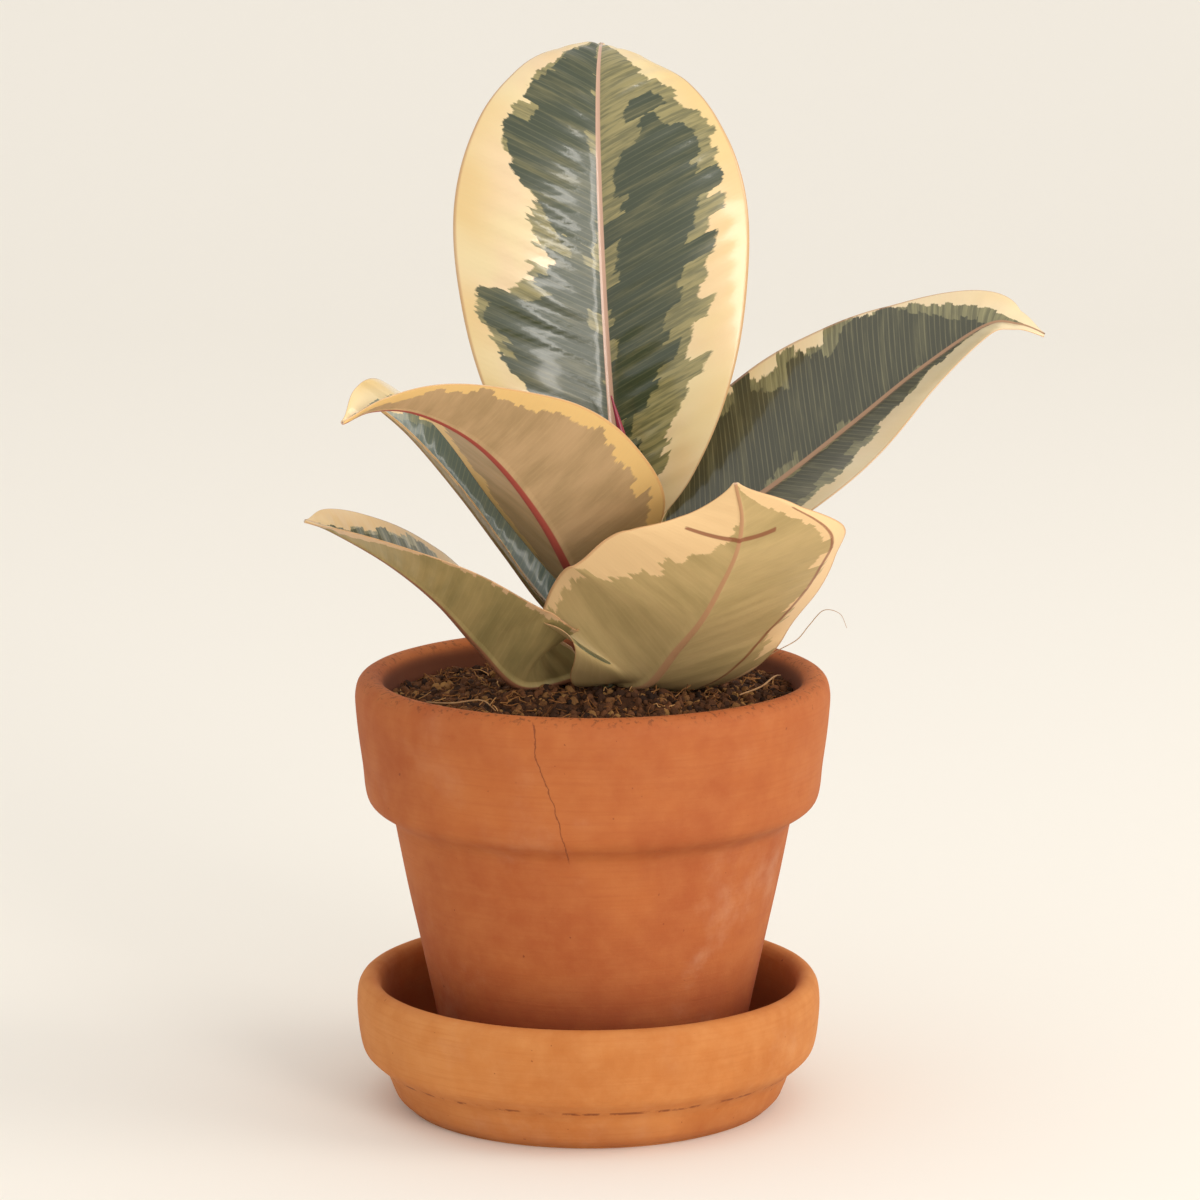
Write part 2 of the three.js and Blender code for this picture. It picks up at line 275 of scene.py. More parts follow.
def turnedPiece(name, centre, shape, tree, finish):
    line = [((r - shape["sweepRadius"]) * mm, -z * mm, 0) for r, z in shape["profile"]]
    closed = shape["profile"][0] == shape["profile"][-1]
    if closed:
        line.pop()
    edges = [(i, i + 1) for i in range(len(line) - 1)] + ([(len(line) - 1, 0)] if closed else [])
    mesh = bpy.data.meshes.new(name)
    mesh.from_pydata(line, edges, [])
    made = bpy.data.objects.new(name, mesh)
    scene.collection.objects.link(made)
    bakeTree(made, tree, {
        "Radius": shape["sweepRadius"] * mm, "Step": shape["step"] * mm, "Segments": shape["segments"],
        "Unevenness": shape["unevenness"] * mm, "Uneven Scale": 1 / (shape["unevenSize"] * mm),
        "Seed": shape["seed"], "Finish": finish,
    })
    for vertex in made.data.vertices:
        vertex.co.x += centre[0]
        vertex.co.y += centre[1]
    return made


# fired earthenware: porous and matt, with turning lines, grey-white lime bloom and dark grit; the inner wall
# and the turned step get painted shade
def firedClay(name, look):
    material, tree, surface = newMaterial(name, {"Roughness": look["roughness"], "Specular IOR Level": 0.3})
    maths, band, blend = nodeMakers(tree)
    place = addNode(tree, "ShaderNodeTexCoord").outputs["Object"]
    height = addNode(tree, "ShaderNodeSeparateXYZ", None, {0: place}).outputs["Z"]

    def grain(size, detail=4.0, stretch=(1, 1, 1)):
        moved = addNode(tree, "ShaderNodeMapping", None, {
            "Vector": place, "Scale": stretch, "Location": look["shift"],
        })
        return addNode(tree, "ShaderNodeTexNoise", None, {
            "Vector": moved.outputs[0], "Scale": 1 / (size * mm), "Detail": detail, "Roughness": 0.6,
        }).outputs["Fac"]

    colour = blend(band(grain(38), 0.35, 0.68), look["deep"], look["pale"])
    colour = blend(band(grain(7, 6.0), 0.3, 0.75, (0.0, 0.35)), colour, look["fine"])
    lines = grain(26, 3.0, (1, 1, 30))
    colour = blend(band(lines, 0.42, 0.75, (0.0, 0.3)), colour, look["deep"])
    bloomHeight = band(height, look["bloomTop"], look["bloomLow"], (0.25, 1.0))
    bloom = maths("MULTIPLY", band(grain(30, 8.0), 0.52, 0.78), bloomHeight)
    colour = blend(maths("MULTIPLY", bloom, look["bloomAmount"]), colour, look["bloom"])
    stainHeight = band(height, look["stainTop"], look["stainLow"])
    stain = maths("MULTIPLY", stainHeight, band(grain(16, 5.0), 0.3, 0.6, (0.4, 1.0)))
    colour = blend(maths("MULTIPLY", stain, look["stainAmount"]), colour, look["stain"])
    grit = band(grain(1.9, 2.0), 0.735, 0.76)
    colour = blend(maths("MULTIPLY", grit, look["gritAmount"]), colour, look["grit"])
    dust = maths("MULTIPLY", band(height, look["dustLow"], look["dustTop"]),
                 band(grain(1.3, 5.0), 0.55, 0.62))
    colour = blend(maths("MULTIPLY", dust, 0.7), colour, "#3b2415")
    # painted shade: the inner wall above a given height is darkened, as a recess in shade beside the soil in
    # the pot and beside the pot in the saucer
    centred = addNode(tree, "ShaderNodeVectorMath", {"operation": "MULTIPLY_ADD"}, {
        0: place, 1: (1, 1, 0), 2: (-look["axis"], 0, 0)})
    radius = addNode(tree, "ShaderNodeVectorMath", {"operation": "LENGTH"}, {
        0: centred.outputs[0],
    }).outputs["Value"]
    innerWallShade = maths("MULTIPLY", band(radius, look["insideRadius"] + 0.0004, look["insideRadius"] - 0.0012),
                band(height, look["insideLow"], look["insideLow"] + 0.003))
    colour = blend(maths("MULTIPLY", innerWallShade, look["insideAmount"]), colour, look["inside"])
    if look.get("seam"):
        # painted shade: a dark clay line under the turned step, broken into patches by noise
        apart = maths("ABSOLUTE", maths("SUBTRACT", height, look["seam"]), 0.0)
        stepShade = maths("MULTIPLY", band(apart, 0.7 * mm, 0.15 * mm), band(grain(5, 5.0), 0.48, 0.58))
        colour = blend(maths("MULTIPLY", stepShade, 0.75), colour, "#74361a")
    relief = maths("ADD", maths("MULTIPLY", lines, 0.6), maths("MULTIPLY", grain(0.9, 3.0), 0.35))
    if look.get("crack"):
        # hairline crack: its sideways place follows the height, and it shows only on the front
        crack = look["crack"]
        bottom, top, reach = crack["bottom"] * mm, crack["top"] * mm, crack["reach"]
        upCrack = addNode(tree, "ShaderNodeMapRange", None, {
            "Value": height, "From Min": bottom, "From Max": top,
        })
        route = addNode(tree, "ShaderNodeFloatCurve", None, {"Value": upCrack.outputs[0]})
        curve = route.mapping.curves[0]
        for k, x in enumerate(crack["sideways"]):
            where = (k / (len(crack["sideways"]) - 1), x / reach)
            if k in (0, len(crack["sideways"]) - 1):
                curve.points[min(k, 1)].location = where
            else:
                curve.points.new(*where)
        route.mapping.update()
        parts = addNode(tree, "ShaderNodeSeparateXYZ", None, {0: place}).outputs
        aside = maths("SUBTRACT", maths("MULTIPLY", parts["X"], -1.0),
                      maths("MULTIPLY", route.outputs[0], reach * mm))
        wander = maths("MULTIPLY", maths("SUBTRACT", grain(3.5, 4.0), 0.5), 2.2 * mm)
        apart = maths("ABSOLUTE", maths("ADD", aside, wander), 0.0)
        line = band(apart, crack["width"] * mm, 0.0)
        for value, low, high in (
            (parts["Y"], 0.0, -10 * mm), (height, bottom, bottom + 3 * mm), (height, top, top - mm),
        ):
            line = maths("MULTIPLY", line, band(value, low, high))
        colour = blend(maths("MULTIPLY", line, 0.75), colour, "#6e3218")
        relief = maths("SUBTRACT", relief, line)
    bumps = addNode(tree, "ShaderNodeBump", None, {"Height": relief, "Strength": 0.5, "Distance": 0.25 * mm})
    tree.links.new(bumps.outputs[0], surface.inputs["Normal"])
    tree.links.new(colour, surface.inputs["Base Color"])
    return material


clayTree = turnedClayTree()
potBox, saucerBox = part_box("pot"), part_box("saucer")
potCentre = ((potBox[0][0] + potBox[1][0]) / 2, (potBox[0][1] + potBox[1][1]) / 2)
potX = potCentre[0] / mm

saucer = {
    "profile": [
        (0, 0), (20, 0), (48, 0), (50.5, 0.3), (53.2, 2.5), (54.4, 5), (55.4, 7.5), (56, 9),
        (57.4, 10.8), (60.4, 13.4), (62.2, 15.4), (63.1, 18.5), (63.7, 23), (64, 28), (63.7, 32),
        (62.9, 34), (61.8, 35.1), (60.3, 35.5), (58.9, 35), (58, 34), (57.3, 32), (56.6, 26), (56, 20),
        (55.2, 14), (54, 9.8), (52.6, 7.6), (50, 6.6), (47, 6.5), (20, 6.5), (0, 6.5),
    ],
    "sweepRadius": 30, "step": 0.8, "segments": 240, "unevenness": 0.5, "unevenSize": 45, "seed": 3.0,
    "look": {
        "deep": "#b76c31", "pale": "#c98143", "fine": "#d39358", "roughness": 0.82, "shift": (0.4, 0.2, 0.1),
        "bloom": "#e6c6a4", "bloomAmount": 0.25, "bloomTop": 0.05, "bloomLow": 0.0,
        "stain": "#8e4523", "stainAmount": 0.35, "stainTop": 0.012, "stainLow": 0.0,
        "grit": "#7a3a1c", "gritAmount": 0.7, "dustLow": 0.9, "dustTop": 1.0, "seam": 0.0118,
        "inside": "#8c4626", "insideRadius": 0.0571, "insideLow": 0.0105, "insideAmount": 0.75, "axis": 0.0,
    },
}
pot = {
    "profile": [
        (9, 7.3), (9.6, 6.8), (37.4, 6.8), (38.9, 7.2), (39.7, 8.6), (42.1, 20), (45, 34),
        (47.8, 47.2), (50.9, 61.4), (53.2, 73), (54.2, 78.3), (54.6, 79.8), (55.6, 81), (57.4, 82.4),
        (59.8, 83.9), (61.3, 85.4), (62.1, 87.2), (62.6, 90), (63.1, 95.3), (64, 102), (64.6, 107.5),
        (65, 113), (64.9, 115.4), (64.3, 117.8), (63.1, 119.3), (61.6, 120), (60, 120), (58.6, 119.4),
        (57.5, 118.2), (56.9, 116.6), (56.5, 114.5), (54.8, 107), (50, 86), (42, 51), (36, 24.5),
        (34.6, 19), (33.2, 15.6), (31, 14.1), (28, 14), (9.8, 14), (9, 13.3), (9, 7.3),
    ],
    "sweepRadius": 40, "step": 0.9, "segments": 256, "unevenness": 0.5, "unevenSize": 60, "seed": 8.0,
    "look": {
        "deep": "#a55427", "pale": "#b46531", "fine": "#be7541", "roughness": 0.78, "shift": (0.1, 0.7, 0.3),
        "bloom": "#dcb391", "bloomAmount": 0.42, "bloomTop": 0.11, "bloomLow": 0.03,
        "stain": "#8f3d1e", "stainAmount": 0.7, "stainTop": 0.05, "stainLow": 0.028,
        "grit": "#6e3016", "gritAmount": 0.6, "dustLow": 0.1168, "dustTop": 0.1212,
        "inside": "#562a18", "insideRadius": 0.0578, "insideLow": 0.1, "insideAmount": 0.85, "axis": 0.0012,
        "crack": {
            "bottom": 78.5, "top": 119.5, "width": 0.28, "reach": 20,
            "sideways": [4.8, 5.2, 8.4, 11.2, 13.8, 14.4],
        },
    },
}
saucerFinish = firedClay("unglazed earthenware saucer", saucer["look"])
saucerClay = turnedPiece("saucer_clay", (0, 0), saucer, clayTree, saucerFinish)
joinFrame(saucerClay, ["saucer"])
potClay = turnedPiece("pot_clay", potCentre, pot, clayTree,
                      firedClay("unglazed earthenware pot", pot["look"]))
joinFrame(potClay, ["pot"])
print("pot and saucer ready", len(potClay.data.polygons), len(saucerClay.data.polygons))


# curves through stops, with the same spline as the frame's
def pathPoints(points, t):
    p = np.asarray(points, dtype=float)
    p = np.vstack([2 * p[0] - p[1], p, 2 * p[-1] - p[-2]])
    return splineAt(p, t)


def stopValues(values, t):
    p = np.asarray(values, dtype=float)[:, None]
    p = np.vstack([p[0], p, p[-1]])
    return splineAt(p, t)[..., 0]


def splineAt(p, t):
    spans = len(p) - 3
    at = np.clip(t, 0, 1) * spans
    k = np.minimum(at.astype(int), spans - 1)
    w = (at - k)[..., None]
    a, b, c, d = p[k], p[k + 1], p[k + 2], p[k + 3]
    return (b + 0.5 * w * (c - a + w * (2 * a - 5 * b + 4 * c - d + w * (3 * (b - c) + d - a))))


def unit(v):
    return v / np.maximum(np.linalg.norm(v, axis=-1, keepdims=True), 1e-9)


# potting soil: a lumpy bed with loose crumbs and fibres on it
soil = {
    "height": 112.6, "mound": 2.8, "moundRadius": 25, "radius": 55.6, "rimHeight": 111.4,
    "under": [(33.6, 19), (30.8, 14.3)], "lump": 1.1, "lumpSize": 9, "rings": 70, "segments": 220,
    "bank": (42, 22, 1.6, 300), "heaps": [(13, -13, 2.4, 90), (-14, -7, 1.8, 60)],
    "crumbs": {"count": 2300, "size": (1.0, 3.3), "roughen": 1.5, "roughenSize": 1.3, "width": 0, "seed": 2},
    "grit": {"count": 2100, "size": (0.45, 1.1), "roughen": 0.7, "roughenSize": 0.6, "width": 0, "seed": 7},
    "fibres": {"count": 560, "size": (3, 11), "roughen": 7, "roughenSize": 5, "width": 0.16, "seed": 4},
}


# a soft heap given by its place, its height and its spread
def heap(x, y, place):
    across, along, height, spread = place
    return height * math.exp(-((x - across) ** 2 + (y - along) ** 2) / spread)


def soilHeight(x, y):
    mound = soil["mound"] * math.exp(-(x * x + y * y) / soil["moundRadius"] ** 2)
    bank = heap(x, y, soil["bank"])
    size = soil["lumpSize"]
    lumps = noise.fractal(Vector((x / size, y / size, 3.1)), 0.9, 2.2, 5) * soil["lump"]
    # a little soil is pushed up against the lowest leaves
    heaped = sum(heap(x, y, place) for place in soil["heaps"])
    return soil["height"] + mound + bank + lumps + heaped


# peat and coir mix: near-black brown, crumbly, no shine
peat, tree, surface = newMaterial("moist peat mix", {"Roughness": 0.95, "Specular IOR Level": 0.25})
coarse = mottle(tree, surface, 3, 8.0, ("#22120a", "#6b4224"), (0.35, 0.72), rough=0.7)
bumps = addNode(tree, "ShaderNodeBump", None, {"Height": coarse, "Strength": 1.0, "Distance": 1.0 * mm})
tree.links.new(bumps.outputs[0], surface.inputs["Normal"])


# loose bits take one tone each from their own tint value
def looseBits(name, dark, warm, light):
    material, tree, surface = newMaterial(name, {"Roughness": 0.9, "Specular IOR Level": 0.25})
    tint = addNode(tree, "ShaderNodeAttribute", {"attribute_name": "tint"})
    tone = addNode(tree, "ShaderNodeValToRGB", None, {"Fac": tint.outputs["Fac"]})
    tone.color_ramp.elements[0].color = linearColour(dark)
    tone.color_ramp.elements[1].color = linearColour(light)
    tone.color_ramp.elements[1].position = 0.99
    middle = tone.color_ramp.elements.new(0.8)
    middle.color = linearColour(warm)
    tree.links.new(tone.outputs[0], surface.inputs["Base Color"])
    return material


crumbFinish = looseBits("peat crumbs", "#221209", "#6a4226", "#99703f")
coirFinish = looseBits("coconut coir", "#5a3418", "#a06a38", "#d2a066")

rings, segments = soil["rings"], soil["segments"]
points, faces = [], []
for i in range(rings):
    r = soil["radius"] * (1 - i / rings)
    for k in range(segments):
        a = 2 * math.pi * k / segments
        x, y = r * math.cos(a), r * math.sin(a)
        z = soilHeight(x, y) if i else soil["rimHeight"]
        points.append(((x + potX) * mm, y * mm, z * mm))
points.append((potX * mm, 0, soilHeight(0, 0) * mm))
for i in range(rings - 1):
    for k in range(segments):
        n = (k + 1) % segments
        faces.append((i * segments + k, i * segments + n, (i + 1) * segments + n, (i + 1) * segments + k))
last = (rings - 1) * segments
faces += [(last + k, last + (k + 1) % segments, len(points) - 1) for k in range(segments)]
soilTop = meshObject("soil_top", points, faces, [peat])
base = len(points)
for r, z in soil["under"]:
    for k in range(segments):
        a = 2 * math.pi * k / segments
        points.append(((r * math.cos(a) + potX) * mm, r * math.sin(a) * mm, z * mm))
points.append((potX * mm, 0, soil["under"][-1][1] * mm))
for k in range(segments):
    n = (k + 1) % segments
    faces.append((n, k, base + k, base + n))
    faces.append((base + n, base + k, base + segments + k, base + segments + n))
    faces.append((base + segments + n, base + segments + k, len(points) - 1))
soilBed = meshObject("soil_bed", points, faces, [peat])
joinFrame(soilBed, ["potting_soil"])


# loose bits strewn over a surface: lumpy crumbs, or thin fibres that lie nearly flat
def scatterTree(name, kind):
    tree, start = newShapeTree(name, "Ground", {
        "Density": "Float", "Smallest": "Float", "Largest": "Float", "Roughen": "Float",
        "Roughen Scale": "Float",
        "Width": "Float", "Seed": "Int", "Finish": "Material",
    }, "Bits")
    spread = addNode(tree, "GeometryNodeDistributePointsOnFaces", None, {
        "Mesh": start["Ground"], "Density": start["Density"], "Seed": start["Seed"],
    })
    size = addNode(tree, "FunctionNodeRandomValue", None, {
        2: start["Smallest"], 3: start["Largest"], "Seed": 5,
    })
    if kind == "crumb":
        bit = addNode(tree, "GeometryNodeMeshIcoSphere", None, {"Radius": 0.5, "Subdivisions": 2})
        bitOut = bit.outputs[0]
        turn = addNode(tree, "FunctionNodeRandomValue", {"data_type": "FLOAT_VECTOR"}, {
            1: (6.3, 6.3, 6.3), "Seed": 9,
        })
    else:
        bit = addNode(tree, "GeometryNodeCurvePrimitiveLine", None, {
            "Start": (-0.5, 0, 0), "End": (0.5, 0, 0),
        })
        split = addNode(tree, "GeometryNodeResampleCurve", None, {"Curve": bit.outputs[0], "Count": 9})
        bitOut = split.outputs[0]
        turn = addNode(tree, "FunctionNodeRandomValue", {"data_type": "FLOAT_VECTOR"}, {
            0: (-0.35, -0.45, 0.0), 1: (0.35, 0.45, 6.3), "Seed": 9})
    flattest, fullest = ((0.7, 0.6, 0.5), (1.3, 1.0, 0.9)) if kind == "crumb" else ((1, 1, 1), (1, 1, 1))
    stretch = addNode(tree, "FunctionNodeRandomValue", {"data_type": "FLOAT_VECTOR"}, {
        0: flattest, 1: fullest, "Seed": 3,
    })
    scaled = addNode(tree, "ShaderNodeVectorMath", {"operation": "SCALE"}, {
        0: stretch.outputs[0], "Scale": size.outputs[1],
    })
    placed = addNode(tree, "GeometryNodeInstanceOnPoints", None, {
        "Points": spread.outputs[0], "Instance": bitOut, "Rotation": turn.outputs[0],
        "Scale": scaled.outputs[0],
    })
    tint = addNode(tree, "FunctionNodeRandomValue", None, {"Seed": 11})
    marked = addNode(tree, "GeometryNodeStoreNamedAttribute", {"domain": "INSTANCE"}, {
        "Geometry": placed.outputs[0], "Name": "tint", "Value": tint.outputs[1],
    })
    real = addNode(tree, "GeometryNodeRealizeInstances", None, {"Geometry": marked.outputs[0]})
    where = addNode(tree, "GeometryNodeInputPosition")
    rough = addNode(tree, "ShaderNodeTexNoise", None, {
        "Vector": where.outputs[0], "Scale": start["Roughen Scale"], "Detail": 2.0,
    })
    centred = addNode(tree, "ShaderNodeVectorMath", {"operation": "SUBTRACT"}, {
        0: rough.outputs["Color"], 1: (0.5, 0.5, 0.42),
    })
    moved = addNode(tree, "ShaderNodeVectorMath", {"operation": "SCALE"}, {
        0: centred.outputs[0], "Scale": start["Roughen"],
    })
    bent = addNode(tree, "GeometryNodeSetPosition", None, {
        "Geometry": real.outputs[0], "Offset": moved.outputs[0],
    })
    out = bent.outputs[0]
    if kind == "fibre":
        section = addNode(tree, "GeometryNodeCurvePrimitiveCircle", None, {
            "Resolution": 3, "Radius": start["Width"],
        })
        tube = addNode(tree, "GeometryNodeCurveToMesh", None, {
            "Curve": out, "Profile Curve": section.outputs[0], "Fill Caps": True,
        })
        out = tube.outputs[0]
    smooth = addNode(tree, "GeometryNodeSetShadeSmooth", None, {
        "Geometry": out, "Shade Smooth": kind == "fibre",
    })
    whole = addNode(tree, "GeometryNodeRealizeInstances", None, {"Geometry": smooth.outputs[0]})
    finish = addNode(tree, "GeometryNodeSetMaterial", None, {
        "Geometry": whole.outputs[0], "Material": start["Finish"],
    })
    addNode(tree, "NodeGroupOutput", None, {"Bits": finish.outputs[0]})
    return tree


def scatter(name, kind, bits, finish):
    made = bpy.data.objects.new(name, soilTop.data.copy())
    scene.collection.objects.link(made)
    area = math.pi * (soil["radius"] * mm) ** 2
    smallest, largest = bits["size"]
    bakeTree(made, scatterTree(name, kind), {
        "Density": bits["count"] / area, "Smallest": smallest * mm, "Largest": largest * mm,
        "Roughen": bits["roughen"] * mm, "Roughen Scale": 1 / (bits["roughenSize"] * mm),
        "Width": bits["width"] * mm, "Seed": bits["seed"], "Finish": finish,
    })
    joinFrame(made, [])
    return made


crumbs = scatter("soil_crumbs", "crumb", soil["crumbs"], crumbFinish)
scatter("soil_grit", "crumb", soil["grit"], crumbFinish)
fibres = scatter("soil_fibres", "fibre", soil["fibres"], coirFinish)
bpy.data.objects.remove(soilTop)
print("soil ready", len(crumbs.data.polygons), len(fibres.data.polygons))


# round rods for the stem, the bud and the strands
def rod(name, points, radii, sides, steps, finish):
    t = np.linspace(0, 1, steps + 1)
    line = pathPoints(points, t)
    ahead = unit(np.gradient(line, axis=0))
    slanted = np.array([0.31, 0.9, 0.29])
    across = unit(np.cross(ahead, slanted))
    over = np.cross(ahead, across)
    radius = stopValues(radii, t)
    turns = np.linspace(0, 2 * math.pi, sides, endpoint=False)
    rings = line[:, None] + radius[:, None, None] * (
        np.cos(turns)[None, :, None] * across[:, None] + np.sin(turns)[None, :, None] * over[:, None])
    vertices = np.vstack([rings.reshape(-1, 3), line[:1], line[-1:]]) * mm
    vertices[:, 0] += potX * mm
    faces = []
    for i in range(steps):
        for k in range(sides):
            n = (k + 1) % sides
            faces.append((i * sides + k, i * sides + n, (i + 1) * sides + n, (i + 1) * sides + k))
    low, high = len(vertices) - 2, len(vertices) - 1
    faces += [(((k + 1) % sides), k, low) for k in range(sides)]
    faces += [(steps * sides + k, steps * sides + (k + 1) % sides, high) for k in range(sides)]
    return meshObject(name, vertices, faces, [finish])


stem = {
    "path": [(2.5, 1, 88), (4, 1.5, 115), (6, 2.4, 133), (8.4, 3, 148), (10.4, 2.6, 164)],
    "radii": [4.4, 4.3, 4.3, 4.0, 3.6, 3.3, 2.6],
    "bark": "#5d5a2c", "barkPale": "#8b8450",
}
bud = {
    "path": [(10.4, 2.6, 164), (9.8, 2, 174), (7.8, 0.8, 186), (5, 0, 196.5)],
    "radii": [1.9, 2.1, 1.9, 1.5, 1.05, 0.6, 0.2],
    "skin": "#a8324a", "skinDeep": "#7c1f30",
}
# young fig bark: green-brown with pale corky dots
bark, tree, surface = newMaterial("young green bark", {"Roughness": 0.55})
mottle(tree, surface, 1.6, 4.0, (stem["bark"], stem["barkPale"]), (0.45, 0.7))
stemBark = rod("stem_bark", stem["path"], stem["radii"], 32, 90, bark)
joinFrame(stemBark, ["stem"])
# bud sheath: smooth crimson skin
sheath, tree, surface = newMaterial("crimson bud sheath", {"Roughness": 0.35})
mottle(tree, surface, 0.8, 2.0, (bud["skinDeep"], bud["skin"]), stretch=(1, 1, 0.1))
budSheath = rod("bud_skin", bud["path"], bud["radii"], 24, 40, sheath)
joinFrame(budSheath, ["bud_sheath"])

strands = {
    "coir_left": {
        "node": "coir_fibre_left", "thick": 0.24,
        "path": [(-45, -14, 114.6), (-38, -20, 115.6), (-30, -22, 116.8), (-26, -27, 115)],
    },
    "coir_front": {
        "node": "coir_fibre_front", "thick": 0.24,
        "path": [(-14, -36, 114.6), (-6, -40, 115.4), (4, -39, 115), (12, -43, 114.6)],
    },
    "coir_right": {
        "node": "coir_fibre_right", "thick": 0.24,
        "path": [(40, -8, 115.4), (46, -2, 116.4), (50, 8, 117.2), (52, 14, 116.4)],
    },
    "root_hair": {
        "node": "root_hair", "thick": 0.12,
        "path": [(45, 24, 117), (51, 27, 120.4), (57, 29, 123.4), (60.5, 30, 127.4), (64.5, 30, 131.6),
                 (69, 30, 130.6), (71, 30, 126.5)],
    },
}
# coir and fine roots: dry, tan and matt
strandFinish, tree, surface = newMaterial("dry root fibre", {"Roughness": 0.8})
mottle(tree, surface, 4, 2.0, ("#8a5a30", "#cfa676"))
for name, strand in strands.items():
    thick = strand["thick"]
    made = rod(name, strand["path"], [thick, thick * 1.1, thick * 0.9, thick * 0.5], 6, 48, strandFinish)
    joinFrame(made, [strand["node"]])
print("stem, bud and strands ready")

